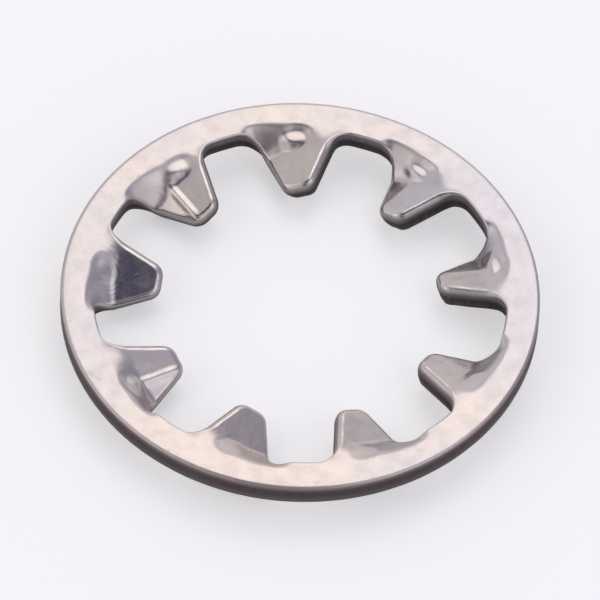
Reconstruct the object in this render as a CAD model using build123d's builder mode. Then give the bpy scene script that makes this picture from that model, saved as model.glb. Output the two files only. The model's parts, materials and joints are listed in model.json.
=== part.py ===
from build123d import *

import os
from math import cos, radians, sin

# Internal-tooth lock washer for an M10 screw. It is stamped from strip steel as a flat ring with
# nine teeth that point inwards, and each tooth is then twisted about a line along its length.
# One edge of the tooth stays level with the ring and the other edge is pushed out below it.
# All lengths are millimetres and all angles are degrees.

# Ring. The cut draws the upper edge of its rim down a little, which a slight bevel stands for.
outside_diameter = 18.0
ring_width = 1.25
thickness = 0.9
rim_bevel_width = 0.16
rim_bevel_depth = 0.1

# Teeth, as stamped. The cut draws the metal down further round them and rolls their upper edges.
tooth_count = 9
first_tooth_angle = 90.0
tip_circle_diameter = 10.5
tooth_root_width = 3.2
tooth_tip_width = 1.1
root_corner_radius = 0.5
tip_corner_radius = 0.55
tooth_roll_radius = 0.22

# Teeth, as twisted. The twist line lies beside the tooth's centre line, towards the edge that
# stays level. The fold takes up the given share of the tooth's length, and the rest, the blade,
# is flat.
twist_angle = 25.0
twist_line_offset = 1.05
fold_share = 0.4
fold_section_count = 5

outer_radius = outside_diameter / 2
root_circle_radius = outer_radius - ring_width
tip_circle_radius = tip_circle_diameter / 2
touch = 0.001


def on_root_circle(vertex):
    """True at the corners where the blank's tooth leaves the ring."""
    return vertex.X > 0 and abs(Vector(vertex.X, vertex.Y).length - root_circle_radius) < touch


# The flat blank with one tooth along +X. The tooth's corners are rounded at the ring and the tip.
with BuildSketch() as blank:
    Circle(outer_radius)
    Circle(root_circle_radius, mode=Mode.SUBTRACT)
    with BuildLine():
        Polyline(
            (outer_radius - ring_width / 2, tooth_root_width / 2),
            (root_circle_radius, tooth_root_width / 2),
            (tip_circle_radius, tooth_tip_width / 2),
            (tip_circle_radius, -tooth_tip_width / 2),
            (root_circle_radius, -tooth_root_width / 2),
            (outer_radius - ring_width / 2, -tooth_root_width / 2),
            close=True,
        )
    make_face()
    tip_corners = blank.vertices().filter_by(lambda v: abs(v.X - tip_circle_radius) < touch)
    fillet(tip_corners, tip_corner_radius)
    fillet(blank.vertices().filter_by(on_root_circle), root_corner_radius)

# The fold starts on the chord between the ends of the two root corners.
root_ends = blank.vertices().filter_by(on_root_circle)
fold_start = root_ends[0].X
chord_width = 2 * abs(root_ends[0].Y)
fold_end = fold_start - fold_share * (fold_start - tip_circle_radius)


def tooth_width(x):
    """Width of the blank's tooth at the distance x from the washer's centre."""
    inside = min(x, fold_start - touch)
    scan = Edge.make_line((inside, -outer_radius), (inside, outer_radius))
    crossings = blank.sketch.faces()[0].intersect(scan).edges()
    return crossings.sort_by(lambda edge: abs(edge.center().Y))[0].length


def centre_line_drop(angle):
    """Where the tooth's centre line is when the tooth is turned by the angle about its twist line."""
    sideways = -twist_line_offset * (1 - cos(radians(angle)))
    downwards = -twist_line_offset * sin(radians(angle))
    return sideways, downwards


def section_plane(x, angle):
    """Plane across the tooth at x, with the tooth turned by the angle, clockwise edge upwards."""
    across = (0, -cos(radians(angle)), sin(radians(angle)))
    return Plane(origin=(x, *centre_line_drop(angle)), x_dir=across, z_dir=(-1, 0, 0))


# A rolled edge is round where it is cut square to the tooth's flank. The sections below cut it at
# a slant, which stretches it sideways by the slope of the flank.
flank = Vector(root_circle_radius - tip_circle_radius, (tooth_root_width - tooth_tip_width) / 2)
slant_stretch = flank.length / flank.X

# The fold of one twisted tooth. It is lofted through sections that turn sharply at the root and
# level out towards the blade, while the roll of their upper edges grows to its full size.
with BuildPart() as fold:
    for number in range(fold_section_count + 1):
        share = number / fold_section_count
        x = fold_start + (fold_end - fold_start) * share
        half_width = tooth_width(x) / 2
        half_height = thickness / 2
        roll_height = tooth_roll_radius * (number + 1) / (fold_section_count + 1)
        roll_width = roll_height * slant_stretch
        side = half_width - roll_width
        shoulder = half_height - roll_height
        with BuildSketch(section_plane(x, twist_angle * (1 - (1 - share) ** 2))):
            with BuildLine():
                Polyline((-side, half_height), (side, half_height))
                EllipticalCenterArc((side, shoulder), roll_width, roll_height, 0, arc_size=90)
                Polyline(
                    (half_width, shoulder),
                    (half_width, -half_height),
                    (-half_width, -half_height),
                    (-half_width, shoulder),
                )
                EllipticalCenterArc((-side, shoulder), roll_width, roll_height, 90, arc_size=90)
            make_face()
    loft(ruled=True)

# The blade of one twisted tooth, with its upper edge rolled all the way round.
with BuildPart() as blade:
    blade_normal = Vector(0, sin(radians(twist_angle)), cos(radians(twist_angle)))
    blade_plane = Plane(origin=(0, *centre_line_drop(twist_angle)), x_dir=(1, 0, 0), z_dir=blade_normal)
    with BuildSketch(blade_plane):
        add(blank.sketch)
        Rectangle(fold_end, chord_width, align=(Align.MIN, Align.CENTER), mode=Mode.INTERSECT)
    extrude(amount=thickness / 2, both=True)
    upper_face = blade.faces().sort_by(lambda face: face.center().dot(blade_normal))[-1]
    fillet(upper_face.edges().filter_by(lambda edge: edge.center().X < fold_end - touch), tooth_roll_radius)

# The ring, with a flat land in front of each tooth as far as the fold, then the teeth.
with BuildPart() as lock_washer:
    with BuildSketch(Plane.XY.offset(-thickness / 2)):
        Circle(outer_radius)
        Circle(root_circle_radius, mode=Mode.SUBTRACT)
        with PolarLocations(fold_start, tooth_count, start_angle=first_tooth_angle):
            Rectangle(ring_width, chord_width, align=(Align.MIN, Align.CENTER))
    extrude(amount=thickness)
    upper_face = lock_washer.faces().sort_by(Axis.Z)[-1]
    upper_rim = upper_face.edges().sort_by(SortBy.LENGTH)[-1]
    chamfer(upper_rim, rim_bevel_width, rim_bevel_depth, reference=upper_face)
    with PolarLocations(0, tooth_count, start_angle=first_tooth_angle):
        add(fold.part)
        add(blade.part)

# The washer lies on the lowered corners of its teeth, and they stand at Z = 0.
lowest_point = lock_washer.part.bounding_box().min.Z
lock_washer.part.move(Location((0, 0, -lowest_point)))

os.makedirs("parts", exist_ok=True)
lock_washer.part.label = "lock_washer"
export_step(lock_washer.part, "parts/lock_washer.step")
print("lower face of the ring at Z =", round(-thickness / 2 - lowest_point, 4))
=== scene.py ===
# %% [markdown]
# # A toothed lock washer
# A lock washer goes under the head of a screw. It is stamped from thin strip steel as a flat ring
# with teeth on its inside, and then each tooth is twisted so that one of its edges bites. This
# lesson loads the engineering model, builds a finer washer over it, gives it the finish of tumbled
# steel, and lights it like a small thing on a white table.

# %% Load the engineering model
import json
from math import atan2, cos, pi, radians, sin, sqrt

import bmesh
import bpy
from mathutils import Matrix, Vector


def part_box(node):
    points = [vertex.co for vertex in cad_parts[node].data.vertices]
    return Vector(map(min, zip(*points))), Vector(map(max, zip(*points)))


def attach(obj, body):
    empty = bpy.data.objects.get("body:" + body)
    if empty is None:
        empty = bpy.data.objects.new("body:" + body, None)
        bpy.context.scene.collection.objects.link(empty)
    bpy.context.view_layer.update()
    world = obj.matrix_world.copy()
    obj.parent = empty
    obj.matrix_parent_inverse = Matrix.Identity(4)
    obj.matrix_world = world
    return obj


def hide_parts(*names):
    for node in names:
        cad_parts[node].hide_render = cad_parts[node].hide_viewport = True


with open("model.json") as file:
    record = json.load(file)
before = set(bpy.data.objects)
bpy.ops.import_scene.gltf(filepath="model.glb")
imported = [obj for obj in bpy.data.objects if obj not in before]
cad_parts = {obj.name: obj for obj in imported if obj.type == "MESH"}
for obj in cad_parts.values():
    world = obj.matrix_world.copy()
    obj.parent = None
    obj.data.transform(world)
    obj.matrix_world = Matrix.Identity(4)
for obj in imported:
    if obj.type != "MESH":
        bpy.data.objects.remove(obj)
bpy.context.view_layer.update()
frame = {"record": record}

MM = 0.001
low_corner, high_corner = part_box("lock_washer")
mounts = {mount["name"]: mount for mount in frame["record"]["mounts"]}
ring_top_height = mounts["top_face"]["pos_m"][2]
print("engineering model, mm:", [round(side / MM, 3) for side in high_corner - low_corner])
print("height of the ring's upper face, mm:", round(ring_top_height / MM, 4))

# %% [markdown]
# ## The sizes of the blank
# A stamped part has two sets of sizes: those of the flat blank, which the cutting tool makes, and
# those of the twist, which the forming tool makes. They are kept apart here in the same way. The
# outside size is measured on the engineering model, so the two can't drift apart. Everything is in
# metres, Blender's own unit, and MM turns the millimetres of a drawing into them.

# %% Sizes of the blank
outer_radius = min(high_corner.x, high_corner.y, -low_corner.x, -low_corner.y)
thickness = 0.9 * MM
root_circle_radius = outer_radius - 1.25 * MM
tip_circle_radius = 5.25 * MM
tooth_root_width = 3.2 * MM
tooth_tip_width = 1.1 * MM
root_corner_radius = 0.5 * MM
tip_corner_radius = 0.55 * MM
tooth_count = 9
pitch_angle = 2 * pi / tooth_count
first_tooth_angle = pi / 2
mid_plane_height = ring_top_height - thickness / 2
print("outer radius, mm:", round(outer_radius / MM, 4), "teeth:", tooth_count)

# %% [markdown]
# ## The outline of one tooth
# The blank repeats every forty degrees, so only one pitch of its inner edge is drawn: half a gap,
# a rounded root corner, a straight flank, a rounded tip, and the same again on the other side. A
# curve object with fillets could draw it, but here each point also needs the direction that faces
# into the metal, and that falls straight out of lines and arcs.

# %% Arcs and straight runs that know where the metal is
def arc(centre, radius, start, end, steps, metal_outside):
    """Points on an arc, each with the direction into the metal."""
    points = []
    for step in range(steps + 1):
        angle = start + (end - start) * step / steps
        spoke = Vector((cos(angle), sin(angle)))
        points.append((centre + radius * spoke, spoke if metal_outside else -spoke))
    return points


def straight(start, end, steps, metal):
    """Points inside a straight run, its two ends left out."""
    return [(start.lerp(end, step / steps), metal) for step in range(1, steps)]


print("points on a quarter circle of six steps:", len(arc(Vector((0, 0)), 1, 0, pi / 2, 6, True)))

# %% Draw half of the outline, then mirror it
gap_steps = 10
root_corner_steps = 12
flank_steps = 24
tip_corner_steps = 11
tip_steps = 6


def half_outline():
    """From the middle of a gap, along one flank, to the middle of the tip. The tooth lies on +X."""
    root_x = sqrt(root_circle_radius**2 - (tooth_root_width / 2) ** 2)
    root = Vector((root_x, tooth_root_width / 2))
    tip = Vector((tip_circle_radius, tooth_tip_width / 2))
    down_flank = (tip - root).normalized()
    gap_side = Vector((down_flank.y, -down_flank.x))
    # The root corner touches the flank, and the root circle from inside.
    beside = root + root_corner_radius * gap_side
    back = beside.dot(down_flank)
    room = back**2 - beside.length_squared + (root_circle_radius - root_corner_radius) ** 2
    root_centre = beside - down_flank * (sqrt(room) + back)
    # The tip corner touches the flank and the flat end of the tooth, inside the metal.
    tip_centre_y = tip.y - tip_corner_radius * (1 + gap_side.x) / gap_side.y
    tip_centre = Vector((tip.x + tip_corner_radius, tip_centre_y))

    gap_end = atan2(root_centre.y, root_centre.x)
    flank_turn = atan2(-gap_side.y, -gap_side.x)
    flank_start = root_centre - root_corner_radius * gap_side
    flank_end = tip_centre + tip_corner_radius * gap_side
    tip_middle = Vector((tip.x, 0))
    points = arc(Vector((0, 0)), root_circle_radius, pitch_angle / 2, gap_end, gap_steps, True)
    points += arc(root_centre, root_corner_radius, gap_end, flank_turn, root_corner_steps, True)[1:]
    points += straight(flank_start, flank_end, flank_steps, -gap_side)
    points += arc(tip_centre, tip_corner_radius, flank_turn + pi, pi, tip_corner_steps, False)
    points += straight(Vector((tip.x, tip_centre.y)), tip_middle, tip_steps, Vector((1, 0)))
    points.append((tip_middle, Vector((1, 0))))
    return points


def mirrored(point):
    return Vector((point.x, -point.y))


half = half_outline()
outline = half + [(mirrored(place), mirrored(metal)) for place, metal in reversed(half[:-1])]
print("points on the inner edge of one pitch:", len(outline))

# %% [markdown]
# ## The section of the metal
# A punch drags the upper edge of the metal down as it cuts, which leaves that edge rolled over,
# most of all round the narrow teeth. The lower edge stays nearly sharp. The metal breaks away under
# the punch, so the cut wall leans in under the roll, and the wider the roll is, the more it leans.
# A Bevel modifier would give every edge the same radius, so here the section is laid out at each
# point of the outline: in along the upper face, over the rolled edge, down the wall, and back along
# the lower face.

# %% Sizes of the rolled edges, and the number of rows in each stretch of the section
rim_roll_width = 0.16 * MM
rim_roll_depth = 0.10 * MM
gap_roll_width = 0.09 * MM
tooth_roll_width = 0.24 * MM
lower_edge_radius = 0.05 * MM
# Two shares of the roll's width: how deep the roll goes, and how far the wall leans in at its foot.
roll_depth_share = 1.2
wall_taper_share = 0.75
# The higher the power, the later on the rolled edge the colour of the wall, with its painted light
# and shade, sets in.
inner_wall_power = 6
rim_wall_power = 4
upper_rows = 42
roll_rows = 6
wall_rows = 4
corner_rows = 2
lower_rows = 12


def quarter_turn(rows):
    """Points on a quarter of a unit circle, as the way across and the way down."""
    return [(sin(pi / 2 * row / rows), 1 - cos(pi / 2 * row / rows)) for row in range(1, rows + 1)]


def share_of_roll(across):
    """1 half way over a rolled edge, and 0 at both ends of it."""
    return 1 - abs(2 * across - 1)


print("rows in one section:", upper_rows + lower_rows + 2 * (roll_rows + wall_rows + corner_rows))

# %% Lay out the section at one point of the outline
def section(place, metal, rim_angle, roll_width):
    """The closed loop of points round the metal, each with its share of wall and of rolled edge."""
    top = thickness / 2
    roll_depth = roll_width * roll_depth_share
    rim = Vector((cos(rim_angle), sin(rim_angle)))
    loop = []

    def add(plan, height, wall, rolled):
        loop.append(((plan.x, plan.y, height), wall, rolled))

    outer_end = rim * (outer_radius - rim_roll_width)
    inner_end = place + metal * roll_width
    for row in range(upper_rows + 1):
        add(outer_end.lerp(inner_end, row / upper_rows), top, 0, 0)
    for across, down in quarter_turn(roll_rows):
        wall = across**inner_wall_power
        plan = inner_end - metal * roll_width * across
        add(plan, top - roll_depth * down, wall, share_of_roll(across))
    wall_top = top - roll_depth
    wall_foot = -top + lower_edge_radius
    foot = place + metal * roll_width * wall_taper_share
    for row in range(1, wall_rows + 1):
        share = row / wall_rows
        add(place.lerp(foot, share**2), wall_top + (wall_foot - wall_top) * share, 1, 0)
    for across, down in quarter_turn(corner_rows):
        add(foot + metal * lower_edge_radius * down, wall_foot - lower_edge_radius * across, 1 - down, 0)
    under_start = foot + metal * lower_edge_radius
    under_end = rim * (outer_radius - lower_edge_radius)
    for row in range(1, lower_rows + 1):
        add(under_start.lerp(under_end, row / lower_rows), -top, 0, 0)
    for across, down in quarter_turn(corner_rows):
        radius = outer_radius - lower_edge_radius * (1 - across)
        add(rim * radius, -top + lower_edge_radius * down, down, 0)
    rim_top = top - rim_roll_depth
    for row in range(1, wall_rows + 1):
        add(rim * outer_radius, wall_foot + (rim_top - wall_foot) * row / wall_rows, 1, 0)
    for across, down in quarter_turn(roll_rows)[:-1]:
        wall = (1 - down) ** rim_wall_power
        radius = outer_radius - rim_roll_width * down
        add(rim * radius, rim_top + rim_roll_depth * across, wall, share_of_roll(across))
    return loop


sample = section(*outline[0], pitch_angle / 2, gap_roll_width)
print("points round the metal in the middle of a gap:", len(sample))

# %% [markdown]
# ## The flat blank of one pitch
# The roll is narrow in the gaps and wide round the tooth, so its width follows the distance from
# the middle of the washer. The outline's points are spread evenly over the same angle of the rim,
# which keeps the faces between them close to square. Each point keeps two numbers for the finish:
# how much it belongs to the cut wall, and how much to a rolled edge.

# %% Let the roll grow from the gap to the tooth
# The roll is at its full width this many times sooner than the tooth reaches its tip.
roll_growth = 3.0


def roll_width_at(place):
    """Width of the roll, with a smooth rise from the gap to the first third of the tooth."""
    reach = (root_circle_radius - place.length) / (root_circle_radius - tip_circle_radius)
    grown = min(max(reach * roll_growth, 0), 1)
    return gap_roll_width + (tooth_roll_width - gap_roll_width) * grown**2 * (3 - 2 * grown)


widths = [roll_width_at(place) for place, metal in outline]
print("width of the roll, mm:", round(min(widths) / MM, 3), "to", round(max(widths) / MM, 3))

# %% Skin the sections into the blank of one pitch
def blank_mesh():
    """The flat metal of one pitch, open where it meets its neighbours."""
    blank = bmesh.new()
    wall_layer = blank.verts.layers.float.new("wall")
    roll_layer = blank.verts.layers.float.new("rolled")
    loops = []
    for number, (place, metal) in enumerate(outline):
        rim_angle = pitch_angle * (0.5 - number / (len(outline) - 1))
        loop = []
        for point, wall, rolled in section(place, metal, rim_angle, roll_width_at(place)):
            vertex = blank.verts.new(point)
            vertex[wall_layer] = wall
            vertex[roll_layer] = rolled
            loop.append(vertex)
        loops.append(loop)
    for here, there in zip(loops, loops[1:]):
        for row in range(len(here)):
            after = (row + 1) % len(here)
            blank.faces.new((here[row], here[after], there[after], there[row]))
    mesh = bpy.data.meshes.new("washer_blank_mesh")
    blank.to_mesh(mesh)
    blank.free()
    return mesh


blank_pitch = blank_mesh()
print("faces in the blank of one pitch:", len(blank_pitch.polygons))

# %% [markdown]
# ## Arithmetic in nodes
# Geometry nodes and shader nodes share the Math node. Wiring dozens of them by hand hides the rule
# that they stand for, so a small class carries a socket and turns plain arithmetic into nodes.

# %% Write node arithmetic as formulas
class Term:
    """A number inside a node tree."""

    def __init__(self, tree, socket):
        self.tree = tree
        self.socket = socket

    def math(self, operation, *others):
        node = self.tree.nodes.new("ShaderNodeMath")
        node.operation = operation
        for entry, value in zip(node.inputs, (self, *others)):
            plug(self.tree, value, entry)
        return Term(self.tree, node.outputs[0])

    def __add__(self, other):
        return self.math("ADD", other)

    def __sub__(self, other):
        return self.math("SUBTRACT", other)

    def __mul__(self, other):
        return self.math("MULTIPLY", other)

    def __truediv__(self, other):
        return self.math("DIVIDE", other)

    def __pow__(self, other):
        return self.math("POWER", other)


def plug(tree, value, entry):
    """Connects a socket or a Term to an input, or sets the input to a plain value."""
    if isinstance(value, Term):
        value = value.socket
    if isinstance(value, bpy.types.NodeSocket):
        tree.links.new(value, entry)
    else:
        entry.default_value = value


def add_node(tree, kind, **inputs):
    """A node with some of its inputs plugged; an underscore in a name stands for a space."""
    node = tree.nodes.new(kind)
    for name, value in inputs.items():
        plug(tree, value, node.inputs[name.replace("_", " ")])
    return node


def ramp(value, start, end):
    """0 at start, 1 at end and a smooth rise between them, whichever of the two is larger."""
    node = add_node(value.tree, "ShaderNodeMapRange", Value=value, From_Min=start, From_Max=end)
    node.interpolation_type = "SMOOTHSTEP"
    return Term(value.tree, node.outputs[0])


def hump(distance, size):
    """1 where the distance is nothing, falling off smoothly to about a third at the size."""
    return ((distance / size) * (distance / size) * -1).math("EXPONENT")


print("node arithmetic is ready")

# %% [markdown]
# ## What the forming tool does
# The press turns each tooth about a line beside its middle: one edge hardly moves and the other is
# pushed down until it bites. The fold at the root is skewed, because the lowered side needs a longer
# stretch to come down. A crease runs along the tooth, with a low ridge on it, and the metal past the
# crease is bent further. Where the nose of the tool rests on the fold, it leaves a small level mark
# with a ragged outline. The press leaves soft waves in the metal, and tumbling in a drum then knocks
# shallow dents all over. No two teeth come out quite the same, so the twist, the crease and the mark
# each vary from tooth to tooth, and each has a seed of its own.

# %% Sizes of the press
press_sizes = {
    # How far a tooth turns, and the distance of the line it turns about from its middle.
    "Twist Angle": radians(21.95),
    "Twist Error": radians(1.5),
    "Twist Line Offset": 1.08 * MM,
    # The radii where the fold starts and ends, on the still side and on the lowered one.
    "Still Fold Start": 7.90 * MM,
    "Still Fold End": 6.95 * MM,
    "Lowered Fold Start": 8.15 * MM,
    "Lowered Fold End": 6.90 * MM,
    # The crease: its distance from the tooth's middle, its softness, and the bend past it.
    "Crease At Root": 0.22 * MM,
    "Crease At Tip": 0.40 * MM,
    "Crease Softness": 0.10 * MM,
    "Crease Bend": radians(12.0),
    "Ridge Height": 0.105 * MM,
    "Ridge Width": 0.17 * MM,
    # The mark of the tool's nose: its place, its level middle, its reach and its outline.
    "Nose Across": 0.05 * MM,
    "Nose Error": 0.50 * MM,
    "Nose Radius": 7.53 * MM,
    "Nose Flat": 0.25 * MM,
    "Nose Reach": 0.76 * MM,
    "Nose Squash": 1.6,
    "Nose Raggedness": 0.55 * MM,
    # The soft waves of the press, and the dents of the drum.
    "Wave Height": 0.050 * MM,
    "Waves Per Metre": 900.0,
    "Dent Depth": 0.012 * MM,
    "Dents Per Metre": 1500.0,
}
# Each seed was picked from thousands, for the nine draws that it gives these teeth.
press_seeds = {
    "Twist Seed": 3599,
    "Crease Seed": 13838,
    "Nose Seed": 1329,
    "Nose Place Seed": 39532,
    "Drag Seed": 2031,
}
print("sizes that the press takes:", len(press_sizes))

# %% [markdown]
# ## Stamping with Geometry Nodes
# The tool does the same thing to every tooth, so it is a rule, and Geometry Nodes are made for
# rules. The tree copies the flat pitch nine times, presses each copy with its own small error of
# the tool, then turns each one to its place and welds the seams. The place of each point on the
# flat blank is kept for the finish, because marks of the press follow the metal.

# %% Nodes that the tree uses more than once
def stored(tree, geometry, name, kind, domain, value):
    """Keeps a value on the geometry under a name."""
    node = add_node(tree, "GeometryNodeStoreNamedAttribute", Geometry=geometry, Name=name)
    node.data_type = kind
    node.domain = domain
    plug(tree, value, node.inputs["Value"])
    return node.outputs["Geometry"]


def read_back(tree, name, kind):
    """The value kept under a name."""
    node = add_node(tree, "GeometryNodeInputNamedAttribute", Name=name)
    node.data_type = kind
    return node.outputs["Attribute"]


def draw(tree, tooth_number, seed):
    """A number between -1 and 1, which differs from tooth to tooth."""
    node = add_node(tree, "FunctionNodeRandomValue", ID=tooth_number, Seed=seed)
    node.data_type = "FLOAT"
    limits = [entry for entry in node.inputs if entry.type == "VALUE"]
    plug(tree, -1.0, limits[0])
    plug(tree, 1.0, limits[1])
    return Term(tree, node.outputs[1])


print("helpers of the stamping tree are ready")

# %% [markdown]
# ## The fold, the crease and the waves
# On the real washer these come from one stroke of the press. They could be sculpted on each tooth by
# hand, but each is a simple rule of where a point lies on the flat blank: how far from the axis, and
# how far to one side of the tooth's middle. Written as formulas they hold for all nine teeth, and a
# size is changed in one place.

# %% The fold, the crease and the waves
# Shares of half a pitch, from the middle of a tooth: held up to the first, free from the second.
held_bearing = 0.60
free_bearing = 0.86
# The share of the crease's bend that even the softest tooth gets.
least_crease = 0.1
# Where the ridge rises and where it sinks again, as shares of the way from root to tip.
ridge_rise = (0.05, 0.4)
ridge_fall = (1.05, 0.75)
blank_spacing = 10 * MM


def between(term, first, second, share):
    """A size that runs from one named input to another."""
    return term(first) + (term(second) - term(first)) * share


def folded(term, across, radius):
    """How far the fold has gone at a place on the blank: 0 in the ring and 1 on the tooth."""
    side = ramp(across, -tooth_root_width / 2, tooth_root_width / 2)
    start = between(term, "Still Fold Start", "Lowered Fold Start", side)
    end = between(term, "Still Fold End", "Lowered Fold End", side)
    return ramp(radius, start, end)


def wave_at(tree, term, x, y, tooth_number):
    """Soft waves, from about -0.5 to 0.5, in a slice of the noise of each blank's own."""
    place = add_node(tree, "ShaderNodeCombineXYZ", X=x, Y=y, Z=tooth_number * blank_spacing)
    waves = add_node(tree, "ShaderNodeTexNoise", Vector=place.outputs[0], Detail=1.5)
    plug(tree, term("Waves Per Metre"), waves.inputs["Scale"])
    return Term(tree, waves.outputs["Fac"]) - 0.5


def to_share(error):
    """A number between -1 and 1, made one between 0 and 1."""
    return error * 0.5 + 0.5


def pushed_down(term, error, across, radius, wave):
    """How far a point is pushed down past the crease, less the ridge and the waves."""
    inward = (radius * -1 + root_circle_radius) / (root_circle_radius - tip_circle_radius)
    beyond = across - between(term, "Crease At Root", "Crease At Tip", inward)
    soft = term("Crease Softness")
    past_crease = (beyond + (beyond * beyond + soft * soft).math("SQRT")) * 0.5
    sharpness = to_share(error("Crease Seed")) ** 2
    bend = (term("Crease Bend") * (sharpness * (1 - least_crease) + least_crease)).math("TANGENT")
    along = ramp(inward, *ridge_rise) * ramp(inward, *ridge_fall)
    ridge = hump(beyond, term("Ridge Width")) * term("Ridge Height") * sharpness * along
    return past_crease * bend - ridge - wave * term("Wave Height")


print("share of the way from tooth to gap that the press holds:", held_bearing)

# %% [markdown]
# ## The mark of the tool's nose
# The forming tool ends in a blunt nose. Where it rests on the fold, the metal stays level while all
# the rest slopes, so the mark catches the light as a small bright spot. It could be pushed in as a
# round dent, but a dent would slope too. Holding every point of the mark at one depth keeps it level,
# however far the tooth is turned.

# %% The mark of the tool's nose
def nose_mark(term, error, across, radius, wave, twist):
    """How much a point belongs to the level mark on the fold, and how far down the mark lies."""
    nose_across = term("Nose Across") + error("Nose Place Seed") * term("Nose Error")
    nose_radius = term("Nose Radius")
    nose_along = (radius - nose_radius) * term("Nose Squash")
    to_nose = ((across - nose_across) ** 2 + nose_along**2).math("SQRT") + wave * term("Nose Raggedness")
    rested = to_share(error("Nose Seed")).math("SQRT")
    share = ramp(to_nose, term("Nose Reach"), term("Nose Flat")) * rested
    angle = twist * folded(term, nose_across, nose_radius)
    depth = (nose_across + term("Twist Line Offset")) * angle.math("SINE")
    return share, depth


print("radius at which the nose rests, mm:", round(press_sizes["Nose Radius"] / MM, 2))

# %% [markdown]
# ## The press itself
# A tooth turns about a line beside its middle, and its angle grows from nothing in the ring to the
# full twist on the tooth. A Simple Deform modifier twists evenly along one axis, so it can't follow a
# fold that is skewed. Here each point is turned by its own angle instead, with the sine and the
# cosine that every turn comes down to.

# %% The press itself: where a point of the blank goes
def pressed_place(tree, term, tooth_number):
    """The new place of a point, and how far the press has hold of it."""
    position = tree.nodes.new("GeometryNodeInputPosition").outputs[0]
    parts = add_node(tree, "ShaderNodeSeparateXYZ", Vector=position)
    x, y, z = (Term(tree, socket) for socket in parts.outputs)
    radius = (x * x + y * y).math("SQRT")
    bearing = y.math("ARCTAN2", x).math("ABSOLUTE") / (pitch_angle / 2)

    def error(name):
        """A number between -1 and 1 for each tooth, drawn with the named seed."""
        return draw(tree, tooth_number, term(name))

    # The press lets go in the ring, and in the middle of the gaps.
    hold = folded(term, y, radius) * ramp(bearing, free_bearing, held_bearing)
    wave = wave_at(tree, term, x, y, tooth_number)
    z = z - pushed_down(term, error, y, radius, wave) * hold

    twist = term("Twist Angle") + error("Twist Seed") * term("Twist Error")
    angle = twist * hold
    reach = y + term("Twist Line Offset")
    sink = reach * angle.math("SINE")
    nose_share, nose_depth = nose_mark(term, error, y, radius, wave, twist)
    sink = sink + (nose_depth - sink) * nose_share
    new_y = reach * angle.math("COSINE") + z * angle.math("SINE") - term("Twist Line Offset")
    new_z = z * angle.math("COSINE") - sink + term("Height")
    return add_node(tree, "ShaderNodeCombineXYZ", X=x, Y=new_y, Z=new_z).outputs[0], hold


print("draws for each tooth:", len(press_seeds))

# %% [markdown]
# ## The stages of stamping
# The factory cuts the blank, presses it and tumbles it, and the tree goes through the same stages.
# Each stage is a function that adds its own stretch of nodes and hands the metal on. The place on the
# flat blank is kept before the press moves it. The tree ends by making everything real and giving out
# the materials, because an exporter drops instances.

# %% The stages of stamping, each as a stretch of the tree
weld_distance = 0.002 * MM
# A face is cut wall where the number kept on its points is above this.
all_wall = 0.98


def numbered_blanks(tree, given):
    """One copy of the blank for each tooth, numbered before the copies become one mesh."""
    places = add_node(tree, "GeometryNodeMeshLine", Count=given["Tooth Count"], Offset=(0, 0, 0))
    copies = add_node(tree, "GeometryNodeInstanceOnPoints", Points=places.outputs[0])
    plug(tree, given["Blank"], copies.inputs["Instance"])
    number = tree.nodes.new("GeometryNodeInputIndex").outputs[0]
    numbered = stored(tree, copies.outputs[0], "tooth", "INT", "INSTANCE", number)
    return add_node(tree, "GeometryNodeRealizeInstances", Geometry=numbered).outputs[0]


def pressed_blanks(tree, term, blanks, tooth_number):
    """Every copy pressed, with what the finish has to know kept on its points."""
    flat_place = tree.nodes.new("GeometryNodeInputPosition").outputs[0]
    marked = stored(tree, blanks, "on_blank", "FLOAT_VECTOR", "POINT", flat_place)
    new_place, hold = pressed_place(tree, term, tooth_number)
    marked = stored(tree, marked, "pressed", "FLOAT", "POINT", hold)
    drag = to_share(draw(tree, tooth_number, term("Drag Seed")))
    marked = stored(tree, marked, "drag", "FLOAT", "POINT", drag)
    return add_node(tree, "GeometryNodeSetPosition", Geometry=marked, Position=new_place).outputs[0]


def welded_ring(tree, term, pressed, tooth_number):
    """Each tooth turned to its place round the axis, and the seams welded."""
    place = tree.nodes.new("GeometryNodeInputPosition").outputs[0]
    around = tooth_number * pitch_angle + term("First Tooth Angle")
    turn = add_node(tree, "ShaderNodeVectorRotate", Vector=place, Angle=around)
    turn.rotation_type = "Z_AXIS"
    placed = add_node(tree, "GeometryNodeSetPosition", Geometry=pressed, Position=turn.outputs[0])
    weld = add_node(tree, "GeometryNodeMergeByDistance", Geometry=placed.outputs[0])
    plug(tree, weld_distance, weld.inputs["Distance"])
    return weld.outputs[0]


def tumbled_ring(tree, term, welded):
    """The dents of tumbling, which only ever push inwards."""
    dents = add_node(tree, "ShaderNodeTexNoise", Scale=term("Dents Per Metre"), Detail=2.0)
    normal = tree.nodes.new("GeometryNodeInputNormal").outputs[0]
    depth = Term(tree, dents.outputs["Fac"]) * term("Dent Depth") * -1
    inwards = tree.nodes.new("ShaderNodeVectorMath")
    inwards.operation = "SCALE"
    plug(tree, normal, inwards.inputs[0])
    plug(tree, depth, inwards.inputs["Scale"])
    dented = add_node(tree, "GeometryNodeSetPosition", Geometry=welded, Offset=inwards.outputs[0])
    return add_node(tree, "GeometryNodeSetShadeSmooth", Geometry=dented.outputs[0]).outputs[0]


def with_materials(tree, given, washer):
    """One real mesh, with the steel of the faces all over it and the steel of the walls on top."""
    whole = add_node(tree, "GeometryNodeRealizeInstances", Geometry=washer).outputs[0]
    is_wall = Term(tree, read_back(tree, "wall", "FLOAT")).math("GREATER_THAN", all_wall)
    faces = add_node(tree, "GeometryNodeSetMaterial", Geometry=whole, Material=given["Faces"])
    walls = add_node(tree, "GeometryNodeSetMaterial", Geometry=faces.outputs[0], Selection=is_wall)
    plug(tree, given["Walls"], walls.inputs["Material"])
    return walls.outputs[0]


print("seams to weld:", tooth_count)

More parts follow.
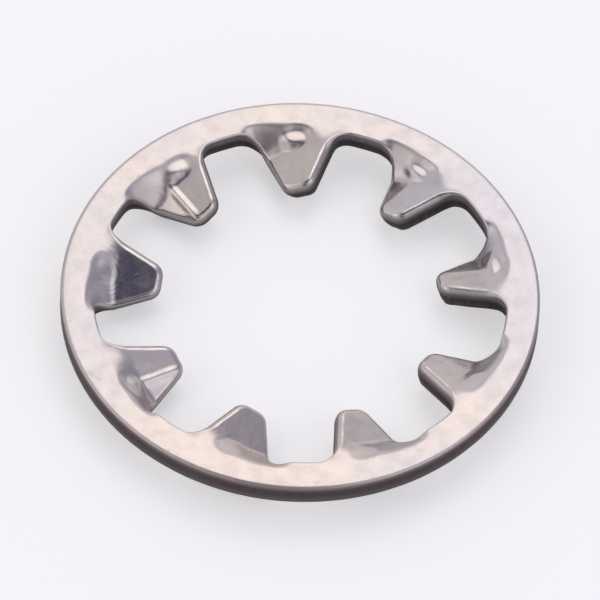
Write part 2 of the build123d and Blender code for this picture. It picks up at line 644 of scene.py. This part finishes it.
# %% Build the stamping tree
def stamping_tree():
    tree = bpy.data.node_groups.new("stamp_lock_washer", "GeometryNodeTree")
    tree.interface.new_socket("Blank", in_out="INPUT", socket_type="NodeSocketGeometry")
    whole_numbers = {"Tooth Count": tooth_count, **press_seeds}
    sizes = {"First Tooth Angle": first_tooth_angle, "Height": mid_plane_height, **press_sizes}
    for kind, values in (("NodeSocketInt", whole_numbers), ("NodeSocketFloat", sizes)):
        for name, value in values.items():
            socket = tree.interface.new_socket(name, in_out="INPUT", socket_type=kind)
            socket.default_value = value
    for name in ("Faces", "Walls"):
        tree.interface.new_socket(name, in_out="INPUT", socket_type="NodeSocketMaterial")
    tree.interface.new_socket("Washer", in_out="OUTPUT", socket_type="NodeSocketGeometry")
    given = tree.nodes.new("NodeGroupInput").outputs

    def term(name):
        """A named input of the tree, ready for arithmetic."""
        return Term(tree, given[name])

    blanks = numbered_blanks(tree, given)
    tooth_number = Term(tree, read_back(tree, "tooth", "INT"))
    pressed = pressed_blanks(tree, term, blanks, tooth_number)
    ring = tumbled_ring(tree, term, welded_ring(tree, term, pressed, tooth_number))
    finished = with_materials(tree, given, ring)
    plug(tree, finished, tree.nodes.new("NodeGroupOutput").inputs["Washer"])
    return tree


stamp = stamping_tree()
print("nodes in the stamping tree:", len(stamp.nodes))

# %% [markdown]
# ## The finish
# The washers are tumbled in a drum after stamping, which leaves the flat faces with a soft satin
# of tiny overlapping dents and rubs the rolled edges bright; their lighter colour is also a painted
# highlight. The cut walls keep the dark surface that the punch left, and their colour also holds
# painted shade. Both steels need the same few kinds of node, so helpers for these come first.

# %% Helpers for shader trees
def shader_group(name, inputs, outputs):
    """An empty shader group with number inputs, given with their values, and the named outputs."""
    group = bpy.data.node_groups.new(name, "ShaderNodeTree")
    for label, value in inputs.items():
        socket = group.interface.new_socket(label, in_out="INPUT", socket_type="NodeSocketFloat")
        socket.default_value = value
    for label, kind in outputs.items():
        group.interface.new_socket(label, in_out="OUTPUT", socket_type=kind)
    entry = group.nodes.new("NodeGroupInput")
    given = {label: Term(group, entry.outputs[label]) for label in inputs}
    return group, given, group.nodes.new("NodeGroupOutput")


def use_group(tree, group, **inputs):
    """Places a group in a tree with its own values, and gives its outputs by name."""
    node = tree.nodes.new("ShaderNodeGroup")
    node.node_tree = group
    for label, value in inputs.items():
        plug(tree, value, node.inputs[label.replace("_", " ")])
    return {socket.name: Term(tree, socket) for socket in node.outputs}


def object_place(tree):
    return tree.nodes.new("ShaderNodeTexCoord").outputs["Object"]


def noise(tree, place, per_metre, detail=3.0, roughness=0.5):
    node = add_node(tree, "ShaderNodeTexNoise", Vector=place, Scale=per_metre, Detail=detail)
    plug(tree, roughness, node.inputs["Roughness"])
    return Term(tree, node.outputs["Fac"])


def kept(tree, name):
    """What the stamping kept on the metal under a name, as the outputs of an Attribute node."""
    node = tree.nodes.new("ShaderNodeAttribute")
    node.attribute_name = name
    return node.outputs


def kept_number(tree, name):
    return Term(tree, kept(tree, name)["Fac"])


def place_on_blank(tree):
    return kept(tree, "on_blank")["Vector"]


def mix_colours(tree, share, first, second):
    """The first colour where the share is 0, and the second where it is 1."""
    node = tree.nodes.new("ShaderNodeMix")
    node.data_type = "RGBA"
    colours = [entry for entry in node.inputs if entry.type == "RGBA"]
    plug(tree, share, node.inputs["Factor"])
    plug(tree, first, colours[0])
    plug(tree, second, colours[1])
    return next(socket for socket in node.outputs if socket.type == "RGBA")


def new_material(name):
    """A material with its tree and the shader in it."""
    material = bpy.data.materials.new(name)
    material.use_nodes = True
    tree = material.node_tree
    return material, tree, tree.nodes["Principled BSDF"]


print("shader helpers are ready")

# %% [markdown]
# ## The grain of tumbled steel
# Tumbling covers steel in tiny dents that overlap. Plain noise looks like sand, so the dents are the
# cells of a Voronoi texture with softened borders. A tone comes with them, made of a broad and a fine
# noise, by which colour and shine vary. Both steels use this grain, so it is made once, as a group.

# %% Group: the grain of tumbled steel
COLOUR = "NodeSocketColor"
NUMBER = "NodeSocketFloat"
# The scales of the fine and the broad noise, as multiples of the scale of the dents.
fine_scale = 2.6
broad_scale = 0.3
fine_depth_share = 0.7
broad_tone_share = 0.65


def tumbled_grain():
    """Height in millimetres of the finest dents, and a tone that varies with them."""
    inputs = {"Dents Per Metre": 5500.0, "Depth": 0.002}
    group, given, out = shader_group("tumbled_grain", inputs, {"Height": NUMBER, "Tone": NUMBER})
    place = object_place(group)
    scale = given["Dents Per Metre"]
    dents = add_node(group, "ShaderNodeTexVoronoi", Vector=place, Scale=scale)
    dents.feature = "SMOOTH_F1"
    pits = Term(group, dents.outputs["Distance"])
    fine = noise(group, place, scale * fine_scale, 2.0)
    broad = noise(group, place, scale * broad_scale, 4.0, 0.6)
    plug(group, (pits + fine * fine_depth_share) * given["Depth"], out.inputs["Height"])
    tone = broad * broad_tone_share + fine * (1 - broad_tone_share)
    plug(group, tone, out.inputs["Tone"])
    return group


grain = tumbled_grain()
print("nodes in the grain:", len(grain.nodes))

# %% [markdown]
# ## The tone of a cut wall, with painted light and shade
# A sheared wall has three bands. At the top it is rubbed bright, and this band is also a painted
# highlight along the edge. Below that the punch slid along the metal and left it dark, and this band
# is also painted shade. At the foot the metal broke and is grey, and this band is also a painted
# reflection of the white table. The bands follow the height on the flat blank, so they stay on the
# metal when a tooth is turned. The inner walls are darker all over than the rim: that is painted
# shade on the walls inside the ring.

# %% Group: the tone of a cut wall
# The three bands of a wall from top to bottom: rubbed bright with a painted highlight, cut dark with
# painted shade, and broken grey with a painted reflection. The inner bands are darker, as painted
# shade.
inner_bands = ((0.34, 0.305, 0.30, 1), (0.075, 0.06, 0.06, 1), (0.12, 0.105, 0.10, 1))
rim_bands = ((0.36, 0.30, 0.28, 1), (0.15, 0.118, 0.115, 1), (0.27, 0.245, 0.24, 1))
# Heights above the middle of the sheet between which one band gives way to the next.
inner_bright_end = (0.22 * MM, -0.08 * MM)
rim_bright_end = (0.36 * MM, 0.14 * MM)
dark_end = (0.0, -0.42 * MM)
# Radii between which the inner walls, with their painted shade, give way to the paler rim.
rim_start = (8.2 * MM, 8.7 * MM)


def banded(group, height, bands, bright_end):
    """The colour of a wall at a height on the blank."""
    bright, dark, grey = bands
    upper = mix_colours(group, ramp(height, *bright_end), bright, dark)
    return mix_colours(group, ramp(height, *dark_end), upper, grey)


def wall_tone_and_painted_light():
    """Colour of the cut wall with its painted light and shade, from the height on the flat blank and
    the distance from the axis.
    """
    inputs = {"Height": 0.0, "Radius": 0.0}
    group, given, out = shader_group("wall_tone_and_painted_light", inputs, {"Tone": COLOUR})
    inner = banded(group, given["Height"], inner_bands, inner_bright_end)
    rim = banded(group, given["Height"], rim_bands, rim_bright_end)
    at_rim = ramp(given["Radius"], *rim_start)
    plug(group, mix_colours(group, at_rim, inner, rim), out.inputs["Tone"])
    return group


def tone_of_wall(tree):
    """The group above, with its inputs. At a seam, two blanks agree on the height and on no more."""
    height = add_node(tree, "ShaderNodeSeparateXYZ", Vector=place_on_blank(tree)).outputs["Z"]
    parts = add_node(tree, "ShaderNodeSeparateXYZ", Vector=object_place(tree)).outputs
    x, y = Term(tree, parts["X"]), Term(tree, parts["Y"])
    radius = (x * x + y * y).math("SQRT")
    return use_group(tree, cut, Height=height, Radius=radius)["Tone"]


cut = wall_tone_and_painted_light()
print("shader groups:", [group.name for group in bpy.data.node_groups if group.type == "SHADER"])

# %% [markdown]
# ## Steel of the faces
# Steel this bright is a metal with hardly any colour of its own. What makes it look real is that
# nothing on it is even: a warm and a cool tint, which is also a painted reflection of warm and cool
# light on the ring, brownish specks, grain in the shine as well as in the relief, and faint wandering
# arcs where the tool's nose dragged over the fold of each tooth. The arcs are worked out from the
# place on the flat blank, which travels with the metal.

# %% The arcs of the press
nose_centre = (press_sizes["Nose Radius"], press_sizes["Nose Across"], 0)
press_line_pitch = 0.17 * MM
press_line_depth = 0.0015
press_line_wander = 0.45 * MM
wanders_per_metre = 1100.0
# Distances from the nose between which the arcs come in, and between which they die out.
press_lines_rise = (0.35 * MM, 0.6 * MM)
press_lines_fall = (1.3 * MM, 0.9 * MM)
# How firmly the press has to hold the metal for the arcs to come in.
firm_hold = (0.05, 0.3)


def press_lines(tree):
    """Height in millimetres of the arcs round the mark of the tool's nose."""
    apart = add_node(tree, "ShaderNodeVectorMath")
    apart.operation = "DISTANCE"
    plug(tree, place_on_blank(tree), apart.inputs[0])
    plug(tree, nose_centre, apart.inputs[1])
    distance = Term(tree, apart.outputs["Value"])
    wander = noise(tree, object_place(tree), wanders_per_metre, 2.0) * press_line_wander
    wave = ((distance + wander) * (2 * pi / press_line_pitch)).math("SINE")
    band = ramp(distance, *press_lines_rise) * ramp(distance, *press_lines_fall)
    pressed = kept_number(tree, "pressed")
    drag = kept_number(tree, "drag")
    return wave * band * ramp(pressed, *firm_hold) * drag * drag * press_line_depth


print("arcs round the nose:", round((press_lines_fall[0] - press_lines_rise[0]) / press_line_pitch))

# %% [markdown]
# ## Clouds, mottling and specks
# Bare steel is never one grey. Broad clouds lean to cool or to warm, the grain leaves a finer
# mottling, and the drum leaves brownish specks. A painted image could hold all this, but noises give
# it at every scale and need no unwrapping. The clouds come from a noise in four dimensions. Its
# fourth number picks one slice of the noise, and this slice was chosen for where its clouds lie, so
# that they are also a painted reflection of the warm and the cool light on the ring.

# %% Colours of the faces
# Cool and warm steel, whose clouds are also a painted reflection of cool and warm light on the ring.
cool_tint_and_reflection = (0.685, 0.668, 0.695, 1)
warm_tint_and_reflection = (0.80, 0.715, 0.65, 1)
mottled_steel = (0.58, 0.54, 0.53, 1)
brown_speck = (0.50, 0.40, 0.34, 1)
# Lighter steel on the rolled edges: rubbed bright in the drum, and also a painted highlight.
rubbed_steel_and_highlight = (0.84, 0.80, 0.77, 1)
tints_per_metre = 75.0
tint_and_reflection_slice = 1542.5
specks_per_metre = 1900.0
# The values of a noise between which a cloud, the mottling or a speck comes in.
cloud_edge = (0.38, 0.60)
mottled_edge = (0.42, 0.66)
speck_edge = (0.64, 0.74)
mottled_share = 0.35
speck_share = 0.25
rubbed_and_highlight_share = 0.3


def tinted(tree, place):
    """Broad clouds of cool and warm tint and painted reflection, from one slice of a 4D noise."""
    clouds = add_node(tree, "ShaderNodeTexNoise", Vector=place, Scale=tints_per_metre)
    clouds.noise_dimensions = "4D"
    clouds.inputs["Detail"].default_value = 3.0
    clouds.inputs["Roughness"].default_value = 0.55
    clouds.inputs["W"].default_value = tint_and_reflection_slice
    share = ramp(Term(tree, clouds.outputs["Fac"]), *cloud_edge)
    return mix_colours(tree, share, cool_tint_and_reflection, warm_tint_and_reflection)


print("clouds across the washer:", round(2 * outer_radius * tints_per_metre, 1))

# %% [markdown]
# ## Putting the steel together
# Each layer is mixed over the one before: clouds, which are partly painted reflection, mottling,
# specks, rubbed edges with a painted highlight, and the cut wall with its painted light and shade.
# The shine follows the same masks, so that a speck is duller as well as browner, and the relief goes
# through a Bump node. Its depths are in millimetres, which is what the Distance of the node says.

# %% Material of the faces
plain_roughness = 0.24
grain_roughness = 0.22
speck_roughness = 0.2
wall_roughness = 0.15
# Rolled and pressed metal has been rubbed, so it is smoother.
rolled_polish = 0.06
pressed_polish = 0.09


def make_face_steel():
    material, tree, shader = new_material("tumbled_steel_and_painted_light")
    shader.inputs["Metallic"].default_value = 1.0
    place = object_place(tree)
    marks = use_group(tree, grain)
    wall = kept_number(tree, "wall")
    rolled = kept_number(tree, "rolled")
    pressed = kept_number(tree, "pressed")

    mottling = ramp(marks["Tone"], *mottled_edge) * mottled_share
    mottled = mix_colours(tree, mottling, tinted(tree, place), mottled_steel)
    specks = ramp(noise(tree, place, specks_per_metre, 3.0, 0.55), *speck_edge) * speck_share
    speckled = mix_colours(tree, specks, mottled, brown_speck)
    # The rolled edges are lightened for rubbing and as a painted highlight, and the cut wall brings its
    # painted light and shade.
    rubbed_and_highlit = mix_colours(tree, rolled * rubbed_and_highlight_share, speckled, rubbed_steel_and_highlight)
    plug(tree, mix_colours(tree, wall, rubbed_and_highlit, tone_of_wall(tree)), shader.inputs["Base Color"])

    rough = marks["Tone"] * grain_roughness + specks * speck_roughness + wall * wall_roughness
    polish = rolled * rolled_polish + pressed * pressed_polish
    plug(tree, rough - polish + plain_roughness, shader.inputs["Roughness"])
    relief = marks["Height"] + press_lines(tree)
    bump = add_node(tree, "ShaderNodeBump", Height=relief, Strength=1.0, Distance=MM)
    plug(tree, bump.outputs[0], shader.inputs["Normal"])
    return material


face_steel = make_face_steel()
print("nodes in the steel of the faces:", len(face_steel.node_tree.nodes))

# %% [markdown]
# ## Steel of the cut walls
# The wall's streaks run through the thickness, the way the punch went. A noise that is stretched
# along that direction gives them: its place is squeezed in height, so one streak spans the wall.

# %% Material of the cut walls
streak_steel = (0.20, 0.175, 0.165, 1)
streaks_per_metre = 5200.0
# The height is squeezed to this share, so that a streak spans the wall.
streak_squeeze = 0.12
streak_edge = (0.4, 0.75)
streak_share = 0.4
streak_height = 0.004
wall_dents_per_metre = 7000.0
wall_dent_depth = 0.003
wall_plain_roughness = 0.34
wall_grain_roughness = 0.25


def make_wall_steel():
    material, tree, shader = new_material("sheared_steel_and_painted_light")
    shader.inputs["Metallic"].default_value = 1.0
    marks = use_group(tree, grain, Dents_Per_Metre=wall_dents_per_metre, Depth=wall_dent_depth)
    place = object_place(tree)
    squeezed = add_node(tree, "ShaderNodeMapping", Vector=place, Scale=(1.0, 1.0, streak_squeeze))
    streaks = noise(tree, squeezed.outputs[0], streaks_per_metre, 3.0, 0.6)
    streaking = ramp(streaks, *streak_edge) * streak_share
    # The tone of the wall brings its painted highlight, painted shade and painted reflection.
    streaked = mix_colours(tree, streaking, tone_of_wall(tree), streak_steel)
    plug(tree, streaked, shader.inputs["Base Color"])
    rough = marks["Tone"] * wall_grain_roughness + wall_plain_roughness
    plug(tree, rough, shader.inputs["Roughness"])
    relief = marks["Height"] + streaks * streak_height
    bump = add_node(tree, "ShaderNodeBump", Height=relief, Strength=1.0, Distance=MM)
    plug(tree, bump.outputs[0], shader.inputs["Normal"])
    return material


wall_steel = make_wall_steel()
print("nodes in the steel of the walls:", len(wall_steel.node_tree.nodes))

# %% [markdown]
# ## Running the press
# A Geometry Nodes modifier takes the flat pitch and gives back the whole washer. Its material
# inputs are set by their identifiers before the object is first evaluated. The result is copied
# into a plain mesh, because an exporter drops instances, and the press is thrown away. The washer
# is then lowered, still level, until its lowest tooth touches the table. A real one would tip by
# half a degree on to three of its teeth, which would hardly show, so that is left out.

# %% Stamp the washer
def stamp_washer():
    """The whole washer as a plain mesh that stands on the table."""
    blank_pitch.materials.append(face_steel)
    press = bpy.data.objects.new("washer_press", blank_pitch)
    bpy.context.scene.collection.objects.link(press)
    stamping = press.modifiers.new("stamping", "NODES")
    stamping.node_group = stamp
    for entry in stamp.interface.items_tree:
        if entry.in_out == "INPUT" and entry.name in ("Faces", "Walls"):
            stamping[entry.identifier] = face_steel if entry.name == "Faces" else wall_steel
    ready = press.evaluated_get(bpy.context.evaluated_depsgraph_get())
    mesh = bpy.data.meshes.new_from_object(ready)
    bpy.data.objects.remove(press)
    lowest = min(vertex.co.z for vertex in mesh.vertices)
    mesh.transform(Matrix.Translation((0, 0, -lowest)))
    print("set down by, mm:", round(lowest / MM, 4))
    return mesh


washer = bpy.data.objects.new("stamped_washer", stamp_washer())
bpy.context.scene.collection.objects.link(washer)
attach(washer, "root")
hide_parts("lock_washer")

# %% [markdown]
# ## Measuring the result
# A weld that misses a seam, or a face turned inside out, hardly shows in a picture, so the washer is
# measured. Each edge should belong to two faces, and the volume should be positive, which it only is
# where the normals point outwards. The highest point is compared with that of the engineering model,
# because the finer washer has to stay inside its box.

# %% Measure the washer
check = bmesh.new()
check.from_mesh(washer.data)
open_edges = sum(1 for edge in check.edges if not edge.is_manifold)
volume = check.calc_volume(signed=True)
triangles = sum(len(face.verts) - 2 for face in check.faces)
check.free()
highest = max(vertex.co.z for vertex in washer.data.vertices)
print("triangles:", triangles, "open edges:", open_edges, "volume, mm3:", round(volume / MM**3, 2))
print("highest point, mm:", round(highest / MM, 4), "of", round(high_corner.z / MM, 4))
print("materials:", [material.name for material in washer.data.materials])

# %% [markdown]
# ## The table
# The washer lies on white paper. The paper's own colour is a pale grey that still shows the shadow,
# and a little light of its own, which only the camera sees, lifts it to the white of a studio.

# %% White table
table_width = 8.0
paper_grey = 0.85
paper_lift = 0.42
side = table_width / 2
corners = [(-side, -side, 0), (side, -side, 0), (side, side, 0), (-side, side, 0)]
floor_mesh = bpy.data.meshes.new("floor")
floor_mesh.from_pydata(corners, [], [(0, 1, 2, 3)])
floor = bpy.data.objects.new("floor", floor_mesh)
bpy.context.scene.collection.objects.link(floor)
paper, paper_tree, paper_shader = new_material("white_paper")
paper_shader.inputs["Base Color"].default_value = (paper_grey, paper_grey, paper_grey, 1)
paper_shader.inputs["Roughness"].default_value = 0.9
paper_shader.inputs["Emission Strength"].default_value = 1.0
camera_sees = Term(paper_tree, paper_tree.nodes.new("ShaderNodeLightPath").outputs["Is Camera Ray"])
lifted = add_node(paper_tree, "ShaderNodeCombineColor")
for channel in lifted.inputs[:3]:
    plug(paper_tree, camera_sees * paper_lift, channel)
plug(paper_tree, lifted.outputs[0], paper_shader.inputs["Emission Color"])
floor_mesh.materials.append(paper)
print("the table is", table_width, "m wide")

# %% [markdown]
# ## The surroundings
# Polished metal shows its surroundings more than its own colour, so the studio is made first as
# what the steel sees: pale walls that darken towards the ceiling, a dim and cool one on the right, a
# nearly black gap overhead, a dark one low in front, and a white card on each side. They are round
# patches of the world's colour, placed by direction. The camera itself sees plain white.

# %% What stands round the washer
wall_colour = (0.68, 0.66, 0.71, 1)
ceiling_colour = (0.50, 0.48, 0.52, 1)
# How steeply upwards a direction points, from 0 to 1, where the wall starts and ends turning into
# the ceiling.
ceiling_edge = (0.2, 0.95)
# Each patch has the direction of its middle, the degrees where it is full and where it has ended,
# and its colour. A later patch covers an earlier one.
patches = {
    "dim wall on the right": ((0.75, 0.25, 0.60), 10, 42, (0.27, 0.27, 0.36, 1)),
    "gap overhead": ((-0.13, -0.22, 0.97), 5, 24, (0.0, 0.005, 0.05, 1)),
    "gap in front": ((-0.08, -0.82, 0.57), 8, 26, (0.08, 0.08, 0.12, 1)),
    "card on the right": ((0.60, -0.35, 0.72), 5, 25, (0.95, 0.95, 1.05, 1)),
    "card on the left": ((-0.78, -0.05, 0.62), 5, 22, (1.00, 0.96, 0.96, 1)),
}
print("patches:", list(patches))

# %% Surroundings
world = bpy.data.worlds.new("studio")
bpy.context.scene.world = world
world.use_nodes = True
sky = world.node_tree
direction = sky.nodes.new("ShaderNodeTexCoord").outputs["Generated"]


def patch(centre, inner, outer):
    """1 inside a round patch of the surroundings and 0 outside it; the limits are degrees."""
    dot = sky.nodes.new("ShaderNodeVectorMath")
    dot.operation = "DOT_PRODUCT"
    plug(sky, direction, dot.inputs[0])
    plug(sky, tuple(Vector(centre).normalized()), dot.inputs[1])
    return ramp(Term(sky, dot.outputs["Value"]), cos(radians(outer)), cos(radians(inner)))


up = Term(sky, add_node(sky, "ShaderNodeSeparateXYZ", Vector=direction).outputs["Z"])
shade = mix_colours(sky, ramp(up, *ceiling_edge), wall_colour, ceiling_colour)
for centre, inner, outer, colour in patches.values():
    shade = mix_colours(sky, patch(centre, inner, outer), shade, colour)
seen = sky.nodes.new("ShaderNodeLightPath").outputs["Is Camera Ray"]
plug(sky, mix_colours(sky, seen, shade, (1, 1, 1, 1)), sky.nodes["Background"].inputs["Color"])
print("nodes in the surroundings:", len(sky.nodes))

# %% [markdown]
# ## The lamp
# One large disk stands behind the washer and a little to the right, where the flat ring mirrors it
# into the camera. That is why the ring is bright while the twisted teeth, which look elsewhere, stay
# grey.

# %% Soft lamp
lamp = bpy.data.lights.new("soft_lamp", "AREA")
lamp.shape = "DISK"
lamp.size = 0.7
lamp.energy = 1.1
lamp.color = (1.0, 0.94, 0.90)
lamp_place = Vector((0.11, 0.485, 0.78))
lamp_object = bpy.data.objects.new("soft_lamp", lamp)
lamp_object.location = lamp_place
lamp_object.rotation_euler = lamp_place.to_track_quat("Z", "Y").to_euler()
bpy.context.scene.collection.objects.link(lamp_object)
print("lamp at, m:", [round(value, 2) for value in lamp_place])

# %% [markdown]
# ## The camera
# The camera looks down at the washer from well above the table, turned a few degrees to one side and
# held slightly askew, as a hand would hold it. A long lens keeps the near and the far side of the
# ring almost the same size.

# %% Camera
camera_elevation = radians(53.7)
camera_turn = radians(3.0)
camera_roll = radians(3.0)
camera_distance = 0.45
frame_width = 22.5 * MM
lens = bpy.data.cameras.new("camera")
lens.lens = lens.sensor_width * camera_distance / frame_width
lens.clip_start = 0.01
camera = bpy.data.objects.new("camera", lens)
target = Vector((0, 0, mid_plane_height))
level = Vector((-sin(camera_turn), -cos(camera_turn), 0))
toward = level * cos(camera_elevation) + Vector((0, 0, sin(camera_elevation)))
camera.location = target + camera_distance * toward
facing = toward.to_track_quat("Z", "Y").to_matrix().to_4x4()
camera.rotation_euler = (facing @ Matrix.Rotation(camera_roll, 4, "Z")).to_euler()
bpy.context.scene.collection.objects.link(camera)
bpy.context.scene.camera = camera
bpy.context.scene.view_settings.view_transform = "Standard"
print("lens, mm:", round(lens.lens))
